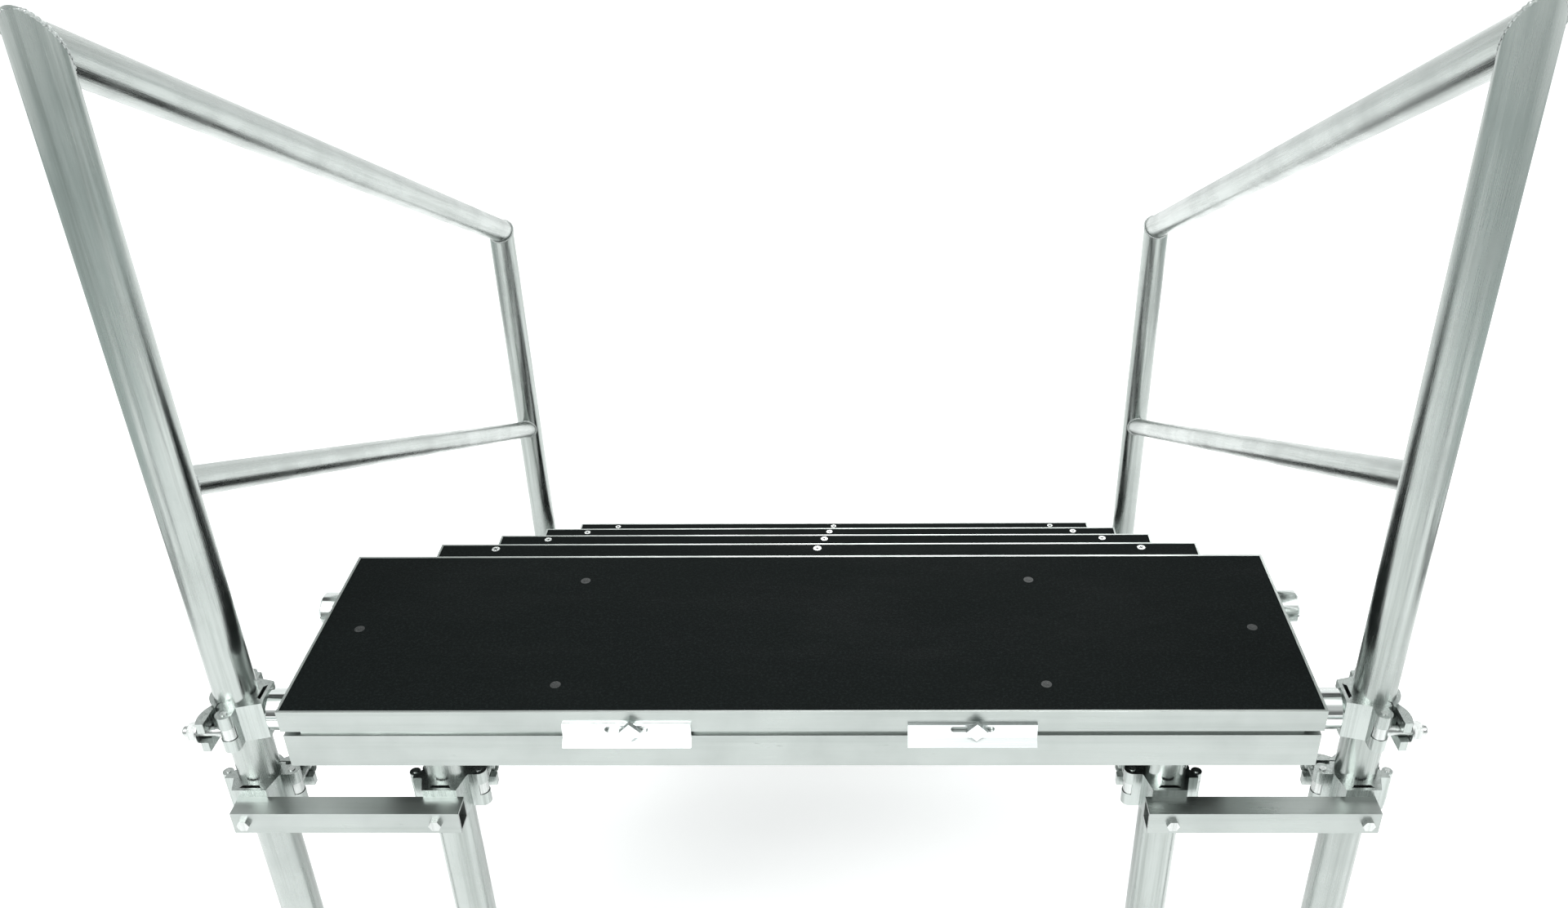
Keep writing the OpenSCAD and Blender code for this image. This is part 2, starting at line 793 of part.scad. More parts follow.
tread_board(1);  // tread_board_1
tread_board(2);  // tread_board_2
tread_board(3);  // tread_board_3
tread_board(4);  // tread_board_4
tread_board(5);  // tread_board_5
tread_frame(1);  // tread_frame_1
tread_frame(2);  // tread_frame_2
tread_frame(3);  // tread_frame_3
tread_frame(4);  // tread_frame_4
tread_frame(5);  // tread_frame_5
cross_tubes(1);  // cross_tubes_1
cross_tubes(2);  // cross_tubes_2
cross_tubes(3);  // cross_tubes_3
cross_tubes(4);  // cross_tubes_4
cross_tubes(5);  // cross_tubes_5
board_screws_top();
board_screws_steps();
board_battens();
rear_cross_rail();
rail_spacer();
locking_plate(LEFT);  // locking_plate_left
locking_plate(RIGHT);  // locking_plate_right
locking_bolts();
stringer(LEFT);  // stringer_left
stringer(RIGHT);  // stringer_right
bracket_plates(LEFT);  // bracket_plates_left
bracket_plates(RIGHT);  // bracket_plates_right
leg(LEFT);  // leg_left
leg(RIGHT);  // leg_right
leg_feet();
stringer_feet();
rear_spreader();
front_spreader();
near_post(LEFT);  // near_post_left
far_post(LEFT);  // far_post_left
top_rail(LEFT);  // top_rail_left
mid_rail(LEFT);  // mid_rail_left
post_ferrules(LEFT);  // post_ferrules_left
near_post(RIGHT);  // near_post_right
far_post(RIGHT);  // far_post_right
top_rail(RIGHT);  // top_rail_right
mid_rail(RIGHT);  // mid_rail_right
post_ferrules(RIGHT);  // post_ferrules_right
spacer_bar(LEFT);  // spacer_bar_left
spacer_bar(RIGHT);  // spacer_bar_right
bar_bolts();
end_plugs();
end_stubs();
stub_bolts();
coupler_bases();
coupler_straps();
coupler_pins();
swing_bolt(0, LEFT);  // swing_bolt_upper_left
swing_bolt(1, LEFT);  // swing_bolt_lower_left
swing_bolt(2, LEFT);  // swing_bolt_leg_left
swing_bolt(3, LEFT);  // swing_bolt_far_left
swing_bolt(0, RIGHT);  // swing_bolt_upper_right
swing_bolt(1, RIGHT);  // swing_bolt_lower_right
swing_bolt(2, RIGHT);  // swing_bolt_leg_right
swing_bolt(3, RIGHT);  // swing_bolt_far_right
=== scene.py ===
"""Looks of a modular stage stair: black boards in aluminium frames, tubular handrails, couplers and legs."""
import json
import math

import bmesh
import bpy
from mathutils import Matrix, Vector


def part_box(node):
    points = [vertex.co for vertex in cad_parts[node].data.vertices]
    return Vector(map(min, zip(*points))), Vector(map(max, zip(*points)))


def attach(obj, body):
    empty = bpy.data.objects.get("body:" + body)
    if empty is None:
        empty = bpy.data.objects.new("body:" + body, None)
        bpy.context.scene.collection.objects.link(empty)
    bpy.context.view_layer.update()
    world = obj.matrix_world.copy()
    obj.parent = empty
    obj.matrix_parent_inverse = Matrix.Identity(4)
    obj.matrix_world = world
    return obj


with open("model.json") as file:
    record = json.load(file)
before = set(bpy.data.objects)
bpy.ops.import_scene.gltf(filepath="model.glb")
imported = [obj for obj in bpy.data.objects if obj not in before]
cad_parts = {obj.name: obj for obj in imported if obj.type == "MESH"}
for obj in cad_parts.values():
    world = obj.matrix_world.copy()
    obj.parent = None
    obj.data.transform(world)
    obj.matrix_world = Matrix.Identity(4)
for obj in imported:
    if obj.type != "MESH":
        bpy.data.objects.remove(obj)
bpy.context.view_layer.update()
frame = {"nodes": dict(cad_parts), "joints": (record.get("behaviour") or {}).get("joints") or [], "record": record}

SIDES = {"left": -1, "right": 1}
MM = 0.001


# ---------- measures taken from the frame ----------

def middle(node):
    low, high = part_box(node)
    return (low + high) / 2


def size(node):
    low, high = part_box(node)
    return high - low


POST_R = size("near_post_right").x / 2
TOP_RAIL_R = size("top_rail_right").x / 2
MID_RAIL_R = size("mid_rail_right").x / 2
SPREADER_R = size("rear_spreader").y / 2
POST_X = middle("near_post_right").x
NEAR_Y = middle("near_post_right").y
FAR_Y = middle("far_post_right").y
LEG_X = middle("leg_right").x
TREADS = sum(node.startswith("tread_board_") for node in frame["nodes"])
UP = Vector((0, 0, 1))


def rail_line(node):
    """The mid rail's axis: its middle point, and the angle at which it falls away from the deck."""
    rail = size(node)
    angle = math.atan2(rail.z, rail.y)
    for _ in range(20):
        angle = math.atan2(rail.z - 2 * MID_RAIL_R * math.cos(angle), rail.y)
    return middle(node), angle


RAIL_MIDDLE, RAIL_SLOPE = rail_line("mid_rail_right")


def rail_height(y):
    """Height of the mid rails' axes at y."""
    return RAIL_MIDDLE.z - math.tan(RAIL_SLOPE) * (y - RAIL_MIDDLE.y)


def top_rail_rise():
    """How far the top rail's axis is above the mid rail's, from the tip of its mitred near corner."""
    half_corner = (math.pi / 2 - RAIL_SLOPE) / 2
    tip = TOP_RAIL_R / math.tan(half_corner)
    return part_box("top_rail_right")[1].z - tip - rail_height(NEAR_Y)


TOP_RAIL_RISE = top_rail_rise()


# ---------- materials ----------
# Colours are linear, noise scales are per metre, and bump distances are in metres.

class Nodes:
    """A short way to write a node tree."""

    def __init__(self, tree):
        self.tree = tree

    def put(self, socket, value):
        if isinstance(value, bpy.types.NodeSocket):
            self.tree.links.new(value, socket)
        else:
            socket.default_value = value

    def add(self, kind, inputs=None, **settings):
        node = self.tree.nodes.new(kind)
        for key, value in settings.items():
            setattr(node, key, value)
        for key, value in (inputs or {}).items():
            self.put(node.inputs[key], value)
        return node

    def math(self, operation, a, b):
        return self.add("ShaderNodeMath", {0: a, 1: b}, operation=operation).outputs[0]

    def ramp(self, value, stops):
        """Maps value through colour stops: (place, colour)."""
        node = self.add("ShaderNodeValToRGB", {"Fac": value})
        elements = node.color_ramp.elements
        while len(elements) < len(stops):
            elements.new(0.5)
        for element, (place, colour) in zip(elements, stops):
            element.position = place
            element.color = (*colour, 1)
        return node.outputs["Color"]


class Look(Nodes):
    """A material's node tree, whose coordinates are the row frame in metres."""

    def __init__(self, name):
        self.material = bpy.data.materials.new(name)
        self.material.use_nodes = True
        super().__init__(self.material.node_tree)
        self.shader = self.tree.nodes["Principled BSDF"]
        self.coords = self.add("ShaderNodeTexCoord").outputs["Object"]

    def mapped(self, scale, turn=(0, 0, 0)):
        """Object coordinates, turned and then stretched."""
        turned = self.add("ShaderNodeMapping", {"Vector": self.coords, "Rotation": turn},
                          vector_type="TEXTURE").outputs["Vector"]
        return self.add("ShaderNodeMapping", {"Vector": turned, "Scale": scale}).outputs["Vector"]

    def noise(self, vector, scale=1.0, detail=4.0, rough=0.55):
        inputs = {"Vector": vector, "Scale": scale, "Detail": detail, "Roughness": rough}
        return self.add("ShaderNodeTexNoise", inputs).outputs["Fac"]

    def span(self, value, low, high, to_low, to_high):
        node = self.add("ShaderNodeMapRange", {
            "Value": value, "From Min": low, "From Max": high, "To Min": to_low, "To Max": to_high})
        return node.outputs["Result"]

    def mix(self, factor, a, b):
        """Mixes two colours, each a socket or (r, g, b)."""
        node = self.add("ShaderNodeMix", data_type="RGBA")
        self.put(node.inputs["Factor"], factor)
        for socket, colour in ((node.inputs[6], a), (node.inputs[7], b)):
            self.put(socket, colour if isinstance(colour, bpy.types.NodeSocket) else (*colour, 1))
        return node.outputs[2]

    def bump(self, height, strength, distance, normal=None):
        inputs = {"Height": height, "Strength": strength, "Distance": distance}
        if normal is not None:
            inputs["Normal"] = normal
        return self.add("ShaderNodeBump", inputs).outputs["Normal"]

    def set(self, **values):
        for key, value in values.items():
            self.put(self.shader.inputs[key.replace("_", " ")], value)
        return self.material


def tinted(colour, share):
    return tuple(c * share for c in colour)


def grain_scale(axis, along, across):
    """Noise scale that is low along one axis and high across it, so that the grain runs along it."""
    return tuple(along if i == axis else across for i in range(3))


def metal(name, bright, dull, rough, axis, turn=0.0, streak=70.0, wear=0.5, bump=0.25):
    """Aluminium or zinc with grain along one axis, its dark streaks partly painted reflection, cloudy patches,
    fine scratches and sparse scuffs.
    """
    n = Look(name)
    turned = (turn, 0, 0)
    grain_and_painted_reflection_streaks = n.noise(n.mapped(grain_scale(axis, 1.6, streak), turned), detail=5, rough=0.65)
    fine = n.noise(n.mapped(grain_scale(axis, 14, streak * 14), turned), detail=3)
    clouds = n.noise(n.mapped((7, 7, 7), turned), detail=6, rough=0.6)
    scuffs = n.noise(n.mapped(grain_scale(axis, 22, 75), turned), detail=7, rough=0.72)
    # The streaks run from the dull to the bright tone: partly the metal's grain, partly painted reflection of dark
    # surroundings along the tubes.
    tone = n.ramp(grain_and_painted_reflection_streaks, [(0.30, dull), (0.52, bright), (0.75, bright)])
    tone = n.mix(n.span(clouds, 0.45, 0.75, 0.0, 0.55), tone, tinted(bright, 0.78))
    tone = n.mix(n.span(scuffs, 0.66, 0.74, 0.0, wear), tone, tinted(dull, 0.35))
    cloudy = n.span(clouds, 0.3, 0.75, rough - 0.07, rough + 0.12)
    scratched = n.span(fine, 0.3, 0.7, -0.04, 0.06)
    matt = n.math("ADD", cloudy, scratched)
    normal = n.bump(fine, bump, 0.0004)
    normal = n.bump(grain_and_painted_reflection_streaks, bump * 0.6, 0.0008, normal)
    return n.set(Base_Color=tone, Metallic=1.0, Roughness=matt, Normal=normal)


def deck_film():
    """Black phenolic film with a fine anti-slip grain, dusty in patches."""
    n = Look("deck_film")
    grain = n.add("ShaderNodeTexVoronoi", {"Vector": n.coords, "Scale": 520.0, "Randomness": 0.75})
    fine = n.noise(n.coords, scale=1400, detail=2)
    dust = n.noise(n.mapped((5, 14, 5)), detail=7, rough=0.65)
    tone = n.ramp(fine, [(0.3, (0.0020, 0.0034, 0.0033)), (0.7, (0.0052, 0.0072, 0.0070))])
    speckle = n.noise(n.coords, scale=330, detail=3, rough=0.7)
    tone = n.mix(n.span(speckle, 0.48, 0.72, 0.0, 0.75), tone, (0.012, 0.0165, 0.016))
    tone = n.mix(n.span(dust, 0.5, 0.8, 0.0, 0.3), tone, (0.010, 0.0125, 0.012))
    rough = n.span(dust, 0.35, 0.75, 0.6, 0.8)
    normal = n.bump(grain.outputs["Distance"], 0.35, 0.0006)
    normal = n.bump(fine, 0.25, 0.0003, normal)
    return n.set(Base_Color=tone, Roughness=rough, Normal=normal, Specular_IOR_Level=0.04)


def rubber():
    n = Look("rubber")
    grain = n.noise(n.coords, scale=420, detail=4)
    dust = n.noise(n.coords, scale=24, detail=6)
    tone = n.mix(n.span(dust, 0.45, 0.75, 0.0, 0.6), (0.014, 0.014, 0.014), (0.05, 0.048, 0.045))
    rough = n.span(grain, 0.3, 0.7, 0.65, 0.85)
    return n.set(Base_Color=tone, Roughness=rough, Normal=n.bump(grain, 0.3, 0.0004))


def black_plastic():
    n = Look("black_plastic")
    grain = n.noise(n.coords, scale=650, detail=3)
    rubbed = n.noise(n.coords, scale=60, detail=6)
    tone = n.mix(n.span(rubbed, 0.5, 0.75, 0.0, 0.5), (0.020, 0.021, 0.021), (0.042, 0.042, 0.041))
    rough = n.span(rubbed, 0.3, 0.7, 0.38, 0.55)
    return n.set(Base_Color=tone, Roughness=rough, Normal=n.bump(grain, 0.2, 0.0003))


def blackened():
    n = Look("blackened_screw")
    wear = n.noise(n.coords, scale=900, detail=4)
    tone = n.mix(n.span(wear, 0.5, 0.72, 0.0, 0.8), (0.035, 0.038, 0.038), (0.13, 0.135, 0.135))
    rough = n.span(wear, 0.3, 0.7, 0.42, 0.6)
    return n.set(Base_Color=tone, Metallic=0.6, Roughness=rough, Normal=n.bump(wear, 0.2, 0.0002))


def weld_metal():
    n = Look("weld_bead")
    spots = n.noise(n.coords, scale=260, detail=5, rough=0.7)
    tone = n.ramp(spots, [(0.3, (0.34, 0.36, 0.35)), (0.7, (0.62, 0.65, 0.64))])
    rough = n.span(spots, 0.3, 0.7, 0.28, 0.5)
    return n.set(Base_Color=tone, Metallic=1.0, Roughness=rough, Normal=n.bump(spots, 0.35, 0.0005))


def flag_cloth(name, tone):
    """A panel's cloth, from black to grey by its tone."""
    n = Look(name)
    weave = n.noise(n.coords, scale=40, detail=2)
    cloth = n.mix(weave, tinted((0.9, 1.0, 0.98), tone), tinted((1.05, 1.15, 1.13), tone))
    return n.set(Base_Color=cloth, Roughness=0.9, Specular_IOR_Level=0.05)


def pale_floor():
    n = Look("pale_floor")
    soft = n.noise(n.coords, scale=3, detail=3)
    tone = n.mix(soft, (0.86, 0.87, 0.87), (0.90, 0.905, 0.905))
    return n.set(Base_Color=tone, Roughness=0.75, Specular_IOR_Level=0.2, Emission_Color=tone,
                 Emission_Strength=0.50)


# BRIGHT and DULL are the ends of the metal streaks; DULL's dark bands are partly grain and partly painted
# reflection.
BRIGHT = (0.44, 0.47, 0.455)
DULL = (0.29, 0.315, 0.30)
X_AXIS, Y_AXIS, Z_AXIS = 0, 1, 2

MILL_X = metal("mill_aluminium_x", BRIGHT, (0.39, 0.42, 0.405), 0.32, X_AXIS)
MILL_Z = metal("mill_aluminium_z", BRIGHT, DULL, 0.22, Z_AXIS)
MILL_SLOPE = metal("mill_aluminium_slope", BRIGHT, DULL, 0.24, Y_AXIS, turn=-RAIL_SLOPE)
PLATE_Y = metal("mill_plate", (0.42, 0.45, 0.435), DULL, 0.42, Y_AXIS, streak=40)
POLISHED = metal("polished_stub", (0.90, 0.93, 0.92), (0.72, 0.75, 0.74), 0.08, X_AXIS, wear=0.2, bump=0.06)
CAST = metal("coupler_aluminium", (0.48, 0.515, 0.50), (0.34, 0.37, 0.355), 0.22, Z_AXIS, streak=160,
             wear=0.6)
# The locking plate and its bolts: aluminium coloured near-white, a painted highlight for the light falling on the
# plate's upturned face.
WHITE_METAL_PAINTED_LIGHT = metal("bright_plate", (0.82, 0.85, 0.85), (0.74, 0.77, 0.77), 0.24, X_AXIS, wear=0.12,
                    bump=0.1)
ZINC = metal("zinc_plate", (0.62, 0.64, 0.63), (0.44, 0.46, 0.45), 0.22, Z_AXIS, streak=300, wear=0.4)
DECK = deck_film()
RUBBER = rubber()
PLASTIC = black_plastic()
BLACKENED = blackened()
WELD = weld_metal()
BLACK_FLAG = flag_cloth("black_flag", 0.06)
GREY_FLAG = flag_cloth("grey_flag", 0.62)

# The look of each material slot in the record
LOOKS = {
    "deck_board": DECK,
    "mill_aluminium": MILL_X,
    "handrail_aluminium": MILL_Z,
    "polished_aluminium": POLISHED,
    "cast_aluminium": CAST,
    "bright_plate": WHITE_METAL_PAINTED_LIGHT,
    "zinc_steel": ZINC,
    "black_screws": BLACKENED,
    "black_plastic": PLASTIC,
    "rubber": RUBBER,
}
# Nodes that need another grain or finish than their slot's, by the start of their names
OWN_LOOKS = {
    "leg_left": MILL_Z,
    "leg_right": MILL_Z,
    "top_rail_": MILL_SLOPE,
    "mid_rail_": MILL_SLOPE,
    "stringer_left": MILL_SLOPE,
    "stringer_right": MILL_SLOPE,
    "bracket_plates_": PLATE_Y,
    # The locking bolts share the plate's painted highlight.
    "locking_bolts": WHITE_METAL_PAINTED_LIGHT,
}
# Width in millimetres of the worn edges, by the start of the nodes' names
EDGES = {
    "tread_frame": 0.5,
    "tread_board": 0.4,
    "rear_cross_rail": 1.4,
    "rail_spacer": 0.4,
    "locking_plate": 0.7,
    "locking_bolts": 0.6,
    "spacer_bar": 1.6,
    "bar_bolts": 0.5,
    "coupler_bases": 0.6,
    "coupler_straps": 0.6,
    "swing_bolt": 0.4,
    "cross_tubes": 0.6,
    "end_stubs": 1.2,
    "end_plugs": 0.8,
    "bracket_plates": 0.8,
    "stringer_left": 1.5,
    "stringer_right": 1.5,
    "stringer_feet": 0.8,
    "leg_feet": 1.0,
    "post_ferrules": 1.0,
}
SHARP = math.radians(38)


def by_start(table, node, other=None):
    """The value in table whose key the node's name starts with."""
    return next((value for start, value in table.items() if node.startswith(start)), other)


def dress(node, thing, slots):
    """Gives a CAD node its material and, where it has sharp edges, a small bevel."""
    thing.data.materials.clear()
    thing.data.materials.append(by_start(OWN_LOOKS, node, LOOKS[slots[node]]))
    width = by_start(EDGES, node)
    if width:
        bevel = thing.modifiers.new("edge", "BEVEL")
        bevel.width = width * MM
        bevel.segments = 2
        bevel.limit_method = "ANGLE"
        bevel.angle_limit = SHARP
        bevel.use_clamp_overlap = True
        bevel.harden_normals = False


def dress_all():
    slots = {row["node"]: row["material_slot"] for row in frame["record"]["subparts"]}
    for node, thing in frame["nodes"].items():
        dress(node, thing, slots)


# ---------- pieces ----------

def linked(name, mesh, material):
    """Turns a finished bmesh into an object in the scene."""
    data = bpy.data.meshes.new(name)
    mesh.to_mesh(data)
    mesh.free()
    data.materials.append(material)
    thing = bpy.data.objects.new(name, data)
    bpy.context.scene.collection.objects.link(thing)
    return thing


def new_piece(name, mesh, material, body, smooth=True):
    """Links a finished bmesh as a piece that rides on a body."""
    bmesh.ops.recalc_face_normals(mesh, faces=mesh.faces)
    thing = linked(name, mesh, material)
    for face in thing.data.polygons:
        face.use_smooth = smooth
    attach(thing, body)
    return thing


def turn_steps(count):
    return [2 * math.pi * i / count for i in range(count)]


def ring(mesh, centre, radius, side, up, count):
    """Adds a ring of vertices round centre, in the plane of side and up."""
    return [mesh.verts.new(centre + radius * (math.cos(a) * side + math.sin(a) * up))
            for a in turn_steps(count)]


def bridge(mesh, here, there):
    """Adds the quads between two rings."""
    for k in range(len(here)):
        j = (k + 1) % len(here)
        mesh.faces.new((here[k], here[j], there[j], there[k]))


def bead(mesh, points, radius, ripple=0.16, sides=8):
    """Adds a closed weld bead along points: a round bead whose thickness ripples like laid weld metal."""
    ripple_points = 4
    count = len(points)
    loops = []
    for i, point in enumerate(points):
        ahead = (points[(i + 1) % count] - points[i - 1]).normalized()
        upright = abs(ahead.z) >= 0.95
        side = ahead.orthogonal().normalized() if upright else ahead.cross(UP).normalized()
        thick = radius * (1 + ripple * math.sin(2 * math.pi * i / ripple_points))
        loops.append(ring(mesh, point, thick, side, side.cross(ahead), sides))
    for i in range(count):
        bridge(mesh, loops[i], loops[(i + 1) % count])


def saddle(centre, along, rail_r, post_r, inward, count=128):
    """The seam where a sloping rail meets an upright post: centre is where their axes cross."""
    across = Vector((1, 0, 0))
    up = along.cross(across)
    points = []
    for a in turn_steps(count):
        x = rail_r * math.cos(a)
        y = inward * math.sqrt(post_r ** 2 - x ** 2)
        height = rail_r * math.sin(a)
        reach = (y - height * up.y) / along.y
        points.append(centre + reach * along + x * across + height * up)
    return points


def mitre(corner, bisector, post_r, rail_r, count=160):
    """The seam round a mitred corner, in the plane of the bisector."""
    radius = (post_r + rail_r) / 2
    stretch = 1 / math.hypot(bisector.x, bisector.y)
    return [corner + Vector((radius * math.cos(a), 0, 0)) + bisector * (radius * stretch * math.sin(a))
            for a in turn_steps(count)]


def handrail_welds(side_name, sign):
    """Beads where the mid rail meets the posts, and round the two mitred corners of the top rail."""
    rail_bead, corner_bead, corner_ripple = 2.3 * MM, 2.0 * MM, 0.28
    along = Vector((0, math.cos(RAIL_SLOPE), -math.sin(RAIL_SLOPE)))
    mesh = bmesh.new()
    for y, inward in ((NEAR_Y, 1), (FAR_Y, -1)):
        crossing = Vector((sign * POST_X, y, rail_height(y)))
        bead(mesh, saddle(crossing, along, MID_RAIL_R, POST_R, inward), rail_bead)
        corner = crossing + UP * TOP_RAIL_RISE
        seam = mitre(corner, (inward * along - UP).normalized(), POST_R, TOP_RAIL_R)
        bead(mesh, seam, corner_bead, ripple=corner_ripple)
    # No bead stands above the rail's own highest point
    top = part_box("top_rail_" + side_name)[1].z
    for vert in mesh.verts:
        vert.co.z = min(vert.co.z, top)
    return new_piece("handrail_welds_" + side_name, mesh, WELD,
                     "handrail_" + side_name)


def leg_top(sign):
    """The seam where a leg, cut to fit, meets the underside of a cross tube."""
    tube_z = middle("cross_tubes_1").z
    points = []
    for a in turn_steps(128):
        y = POST_R * math.sin(a)
        below = math.sqrt(max(POST_R ** 2 - y ** 2, 0))
        points.append(Vector((sign * LEG_X + POST_R * math.cos(a), NEAR_Y + y, tube_z - below)))
    return points


def spreader_end(sign):
    """The seam where the rear spreader meets a leg."""
    spreader = middle("rear_spreader")
    points = []
    for a in turn_steps(96):
        y = SPREADER_R * math.cos(a)
        reach = math.sqrt(POST_R ** 2 - y ** 2)
        z = spreader.z + SPREADER_R * math.sin(a)
        points.append(Vector((sign * (LEG_X - reach), spreader.y + y, z)))
    return points


def frame_welds():
    """Beads at the leg tops and the rear spreader's ends."""
    leg_bead, spreader_bead = 2.2 * MM, 2.0 * MM
    mesh = bmesh.new()
    for sign in SIDES.values():
        bead(mesh, leg_top(sign), leg_bead)
        bead(mesh, spreader_end(sign), spreader_bead)
    return new_piece("leg_welds", mesh, WELD, "stair_frame")


def gusset_welds():
    """Beads round the cross tubes, on both faces of the gusset plates."""
    gusset_bead = 1.9 * MM
    mesh = bmesh.new()
    for side_name in SIDES:
        low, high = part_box("bracket_plates_" + side_name)
        for number in range(1, TREADS + 1):
            tube_low, tube_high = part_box("cross_tubes_%d" % number)
            z = (tube_low.z + tube_high.z) / 2
            for y in (tube_low.y + POST_R, tube_high.y - POST_R):
                for x in (low.x, high.x):
                    bead(mesh, [Vector((x, y + POST_R * math.cos(a), z + POST_R * math.sin(a)))
                                for a in turn_steps(64)], gusset_bead)
    return new_piece("gusset_welds", mesh, WELD, "stair_frame")


def bolt_tip(joint):
    """The free end of a swing bolt: the end of its box, along X or Y, that is farthest from the pivot."""
    low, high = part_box(joint["child"])
    pivot = Vector(joint["pos_m"])
    ends = [Vector((low.x, pivot.y, pivot.z)), Vector((high.x, pivot.y, pivot.z)),
            Vector((pivot.x, low.y, pivot.z)), Vector((pivot.x, high.y, pivot.z))]
    return pivot, max(ends, key=lambda end: (end - pivot).length)


def threads(joint):
    """The rolled thread on a swing bolt's free end: its ridge follows a helix and fades out at both ends."""
    length, inset, pitch = 17 * MM, 1.6 * MM, 1.75 * MM
    core, height = 6.02 * MM, 0.42 * MM
    rings_per_turn, sides, fade_rings = 6, 24, 4
    pivot, tip = bolt_tip(joint)
    ahead = (tip - pivot).normalized()
    side = ahead.cross(UP).normalized()
    start = tip - ahead * (length + inset)
    steps = int(length / pitch * rings_per_turn)
    mesh = bmesh.new()
    loops = []
    for i in range(steps + 1):
        along = length * i / steps
        fade = min(1.0, i / fade_rings, (steps - i) / fade_rings)
        loop = []
        for k, a in enumerate(turn_steps(sides)):
            phase = (along / pitch + k / sides) % 1.0
            r = core + height * fade * (1 - abs(2 * phase - 1))
            loop.append(mesh.verts.new(start + ahead * along + r * (math.cos(a) * side + math.sin(a) * UP)))
        loops.append(loop)
    for here, there in zip(loops, loops[1:]):
        bridge(mesh, here, there)
    mesh.faces.new(loops[0])
    mesh.faces.new(loops[-1])
    body = joint["child"]
    return new_piece(body + "_thread", mesh, ZINC, body)


def foot_rings(node):
    """Centre and radius of each of a node's two round feet, which stand side by side along X or Y."""
    low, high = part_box(node)
    spread = high - low
    if spread.x > spread.y:
        r = spread.y / 2
        return [(x, (low.y + high.y) / 2, r) for x in (low.x + r, high.x - r)]
    r = spread.x / 2
    return [((low.x + high.x) / 2, y, r) for y in (low.y + r, high.y - r)]


def ribs(node, body):
    """Grip rings round the rubber feet of a node."""
    rib = 1.3 * MM
    low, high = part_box(node)
    mesh = bmesh.new()
    for x, y, r in foot_rings(node):
        for share in (0.3, 0.5, 0.7):
            z = low.z + (high.z - low.z) * share
            rim = [Vector((x + r * math.cos(a), y + r * math.sin(a), z)) for a in turn_steps(48)]
            bead(mesh, rim, rib, ripple=0)
    return new_piece(node + "_ribs", mesh, RUBBER, body)


def islands(node):
    """The box of each separate solid in a node, in the row frame."""
    mesh = bmesh.new()
    mesh.from_mesh(frame["nodes"][node].data)
    bmesh.ops.remove_doubles(mesh, verts=mesh.verts, dist=1e-6)
    left = set(mesh.verts)
    boxes = []
    while left:
        # Gathers what is joined to one vertex by edges
        stack = [left.pop()]
        found = []
        while stack:
            vert = stack.pop()
            found.append(vert.co.copy())
            for edge in vert.link_edges:
                other = edge.other_vert(vert)
                if other in left:
                    left.remove(other)
                    stack.append(other)
        boxes.append((Vector([min(p[i] for p in found) for i in range(3)]),
                      Vector([max(p[i] for p in found) for i in range(3)])))
    mesh.free()
    return sorted(boxes, key=lambda box: tuple(box[0]))


def cross_outline(long, wide, turn):
    """The twelve corners of a cross recess, turned about its middle."""
    corners = []
    for quarter in range(4):
        angle = turn + quarter * math.pi / 2
        for x, y in ((long, wide), (wide, wide), (wide, long)):
            corners.append((x * math.cos(angle) - y * math.sin(angle),
                            x * math.sin(angle) + y * math.cos(angle)))
    return corners


def screw_recesses(node, name):
    """Cross recesses in the heads of a node's screws, a hair above the heads, each turned its own way."""
    long, wide, deep = 3.0 * MM, 0.75 * MM, 0.25 * MM
    first_turn, turn_per_metre, symmetry = 17, 530, 90
    mesh = bmesh.new()
    for low, high in islands(node):
        x, y = (low.x + high.x) / 2, (low.y + high.y) / 2
        turn = math.radians(first_turn + turn_per_metre * (x + y) % symmetry)
        outline = cross_outline(long, wide, turn)
        top = [mesh.verts.new((x + px, y + py, high.z + deep)) for px, py in outline]
        base = [mesh.verts.new((x + px, y + py, high.z - deep)) for px, py in outline]
        mesh.faces.new(top)
        mesh.faces.new(base[::-1])
        bridge(mesh, base, top)
    return new_piece(name, mesh, BLACKENED, "stair_frame", smooth=False)


# ---------- studio ----------

FLOOR_SIZE = 400
FLAG_HEIGHT = 2 * MM
SKY_TINT = (0.97, 1.0, 0.99)
SKY_STRENGTH = 0.85
BACKDROP_STRENGTH = 1.05
# Share of the half circle from behind the camera, over the top, to the far side: brightness
SKY_BELTS = [(0.0, 0.16), (0.09, 0.22), (0.16, 0.62), (0.29, 0.72), (0.33, 1.6), (0.53, 1.6), (0.565, 0.10),
             (0.69, 0.10), (0.73, 1.1), (1.0, 1.1)]


def floor():
    bpy.ops.mesh.primitive_plane_add(size=FLOOR_SIZE)
    plane = bpy.context.object
    plane.name = "floor"
    plane.data.materials.append(pale_floor())


def flag(name, x, y, width, depth, cloth):
    """A darker panel on the floor that only reflections see, which shades the tubes."""
    mesh = bmesh.new()
    corners = ((-1, -1), (1, -1), (1, 1), (-1, 1))
    mesh.faces.new([mesh.verts.new((x + i * width / 2, y + j * depth / 2, FLAG_HEIGHT)) for i, j in corners])
    panel = linked(name, mesh, cloth)
    panel.visible_camera = False
    panel.visible_diffuse = False
    panel.visible_shadow = False
    panel.visible_transmission = False


def flags():
    for side_name, sign in SIDES.items():
        flag("flag_side_" + side_name, sign * 2.35, -0.2, 0.3, 3.4, BLACK_FLAG)
        flag("flag_outer_" + side_name, sign * 4.5, 0, 3.6, 16, GREY_FLAG)
        flag("flag_middle_" + side_name, sign * 1.45, -2.9, 0.3, 1.2, BLACK_FLAG)
    flag("flag_front", 0, -5.6, 5.4, 4.8, GREY_FLAG)


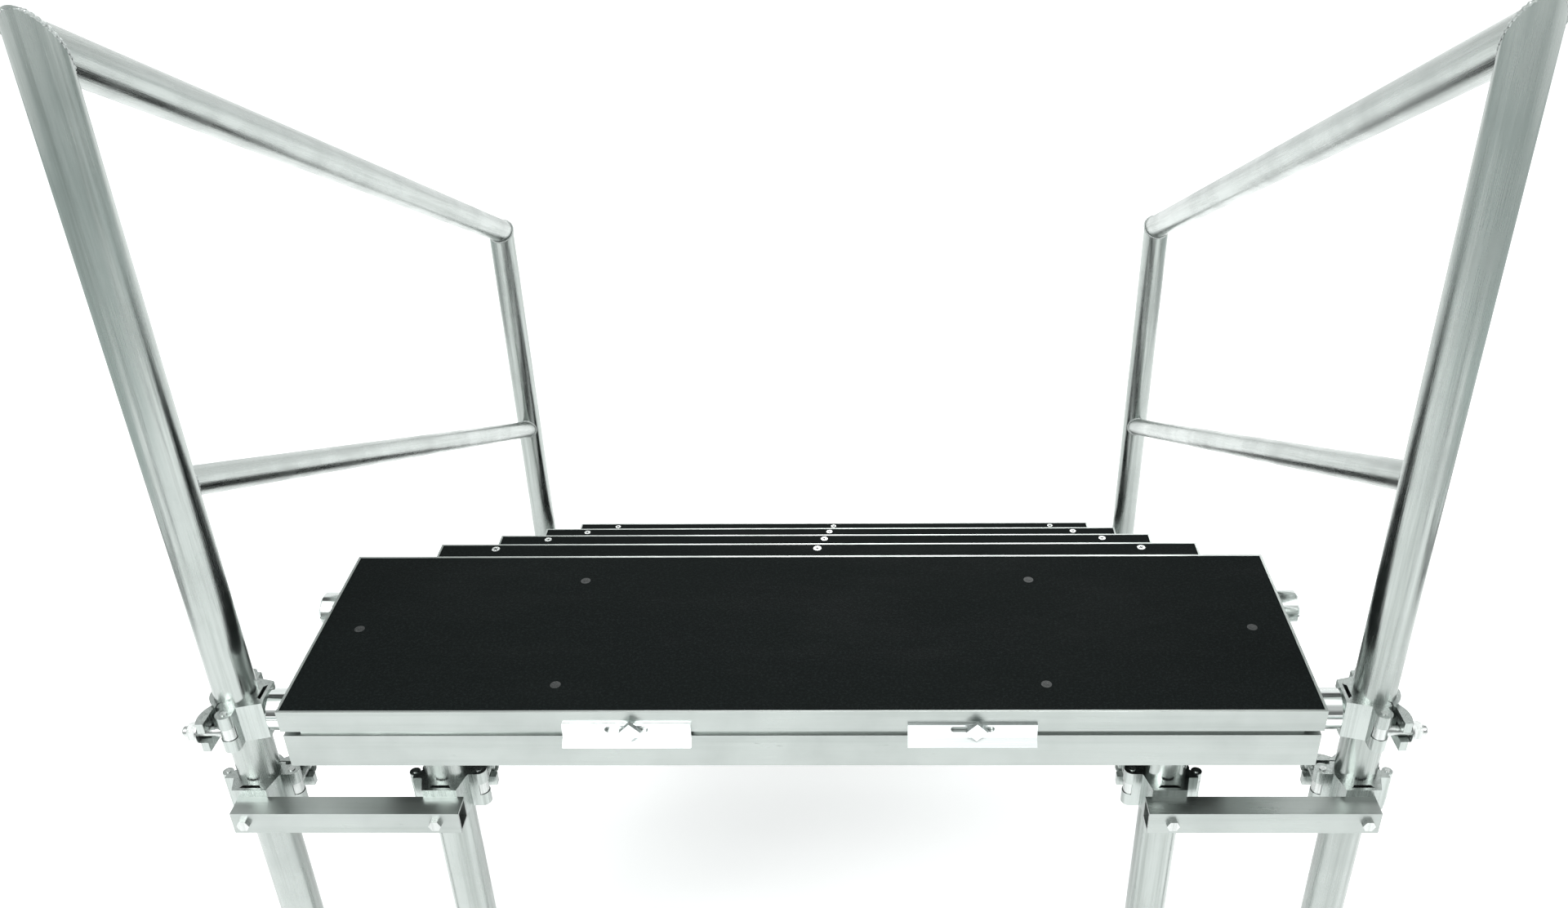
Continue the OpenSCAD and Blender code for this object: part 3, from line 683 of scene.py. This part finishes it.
def studio_sky():
    """A white backdrop for the camera, and for reflections a studio with softboxes between dark belts.

    The belts run from side to side: they are set by the angle that a direction makes about the X axis.
    """
    world = bpy.data.worlds.new("studio")
    bpy.context.scene.world = world
    world.use_nodes = True
    world.node_tree.nodes.clear()
    n = Nodes(world.node_tree)
    direction = n.add("ShaderNodeSeparateXYZ", {0: n.add("ShaderNodeTexCoord").outputs["Generated"]})
    back = n.math("MULTIPLY", direction.outputs["Y"], -1.0)
    angle = n.math("ARCTAN2", direction.outputs["Z"], back)
    share = n.math("DIVIDE", angle, math.pi)
    belts = n.ramp(share, [(place, tinted(SKY_TINT, brightness)) for place, brightness in SKY_BELTS])
    sky = n.add("ShaderNodeBackground", {"Color": belts, "Strength": SKY_STRENGTH})
    backdrop = n.add("ShaderNodeBackground", {"Color": (1, 1, 1, 1), "Strength": BACKDROP_STRENGTH})
    seen = n.add("ShaderNodeLightPath").outputs["Is Camera Ray"]
    pick = n.add("ShaderNodeMixShader", {0: seen, 1: sky.outputs[0], 2: backdrop.outputs[0]})
    n.add("ShaderNodeOutputWorld", {"Surface": pick.outputs[0]})


def soft_light(name, place, target, width, height, power):
    """A rectangular softbox at place that faces target."""
    data = bpy.data.lights.new(name, "AREA")
    data.shape = "RECTANGLE"
    data.size = width
    data.size_y = height
    data.energy = power
    lamp = bpy.data.objects.new(name, data)
    bpy.context.scene.collection.objects.link(lamp)
    lamp.location = place
    lamp.rotation_euler = (Vector(target) - Vector(place)).to_track_quat("-Z", "Y").to_euler()


def lights():
    soft_light("key", (-1.6, -3.2, 3.6), (0, 0, 0.9), width=2.2, height=1.6, power=95)
    soft_light("fill", (3.2, -1.6, 2.6), (0, 0, 0.8), width=1.6, height=2.2, power=45)
    soft_light("back", (0.4, 3.6, 3.2), (0, 0, 0.6), width=3.0, height=1.2, power=60)


# Camera: where it stands, measured from the middle of the top tread's rear edge, and how it is turned
CAMERA_RIGHT = 0.0746
CAMERA_BACK = 1.1601
CAMERA_ABOVE = 1.0053
CAMERA_DOWN = math.radians(31.292)
CAMERA_LEFT_TURN = math.radians(1.035)
CAMERA_ROLL = math.radians(-0.748)
CAMERA_SENSOR = 36
CAMERA_LENS = 31.903
CAMERA_SHIFT = (-0.03876, 0.0144)


def camera_turn():
    """The camera's axes as the columns of a matrix."""
    right = Vector((math.cos(CAMERA_LEFT_TURN), math.sin(CAMERA_LEFT_TURN), 0))
    level = UP.cross(right)
    ahead = level * math.cos(CAMERA_DOWN) - UP * math.sin(CAMERA_DOWN)
    up = right.cross(ahead)
    rolled_right = right * math.cos(CAMERA_ROLL) + up * math.sin(CAMERA_ROLL)
    rolled_up = up * math.cos(CAMERA_ROLL) - right * math.sin(CAMERA_ROLL)
    return Matrix((rolled_right, rolled_up, -ahead)).transposed()


def camera():
    data = bpy.data.cameras.new("camera")
    data.sensor_width = CAMERA_SENSOR
    data.lens = CAMERA_LENS
    data.shift_x, data.shift_y = CAMERA_SHIFT
    thing = bpy.data.objects.new("camera", data)
    bpy.context.scene.collection.objects.link(thing)
    low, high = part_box("tread_frame_1")
    place = Vector(((low.x + high.x) / 2 + CAMERA_RIGHT, low.y - CAMERA_BACK, high.z + CAMERA_ABOVE))
    thing.matrix_world = Matrix.Translation(place) @ camera_turn().to_4x4()
    bpy.context.scene.camera = thing


def build():
    camera()
    dress_all()
    for side_name, sign in SIDES.items():
        handrail_welds(side_name, sign)
        ribs("post_ferrules_" + side_name, "handrail_" + side_name)
    frame_welds()
    gusset_welds()
    ribs("leg_feet", "stair_frame")
    for joint in frame["joints"]:
        if joint["name"].startswith("swing_"):
            threads(joint)
    screw_recesses("board_screws_steps", "step_screw_recesses")
    screw_recesses("board_screws_top", "top_screw_recesses")
    floor()
    flags()
    studio_sky()
    lights()
    bpy.context.scene.view_settings.view_transform = "Standard"


build()
